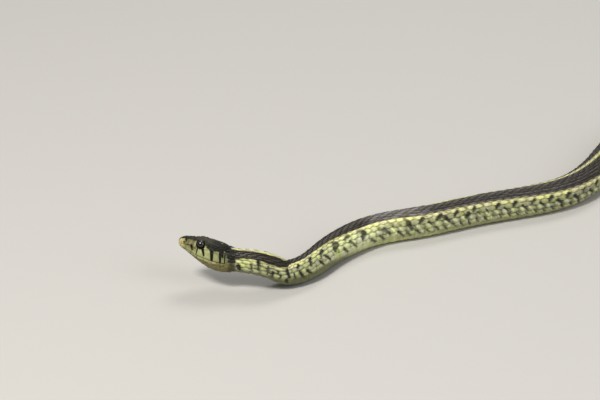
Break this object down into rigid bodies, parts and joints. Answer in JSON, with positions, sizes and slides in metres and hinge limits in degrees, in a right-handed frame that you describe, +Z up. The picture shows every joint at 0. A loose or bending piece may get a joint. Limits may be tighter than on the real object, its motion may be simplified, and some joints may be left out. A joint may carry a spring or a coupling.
{
  "type": "garter snake",
  "caption": "Life-size still model of a striped garter snake, head lifted, the trunk lying in long bends and the tail stretched out behind.",
  "frame": {"origin": "centre of the bounding box in plan, on the floor that the belly rests on", "axes": "+X from the head towards the tail, +Z up, the head looks along -X"},
  "size_m": [0.493, 0.1499, 0.0198],
  "materials": {
    "snake_skin": "dry keeled scales, satin sheen",
    "eye": "wet gloss"
  },
  "bodies": {
    "root": {"head": "snake_skin", "lower_jaw": "snake_skin", "neck": "snake_skin", "body_1": "snake_skin", "body_2": "snake_skin", "body_3": "snake_skin", "body_4": "snake_skin", "body_5": "snake_skin", "tail_1": "snake_skin", "tail_2": "snake_skin", "eye_left": "eye", "eye_right": "eye"}
  },
  "joints": []
}
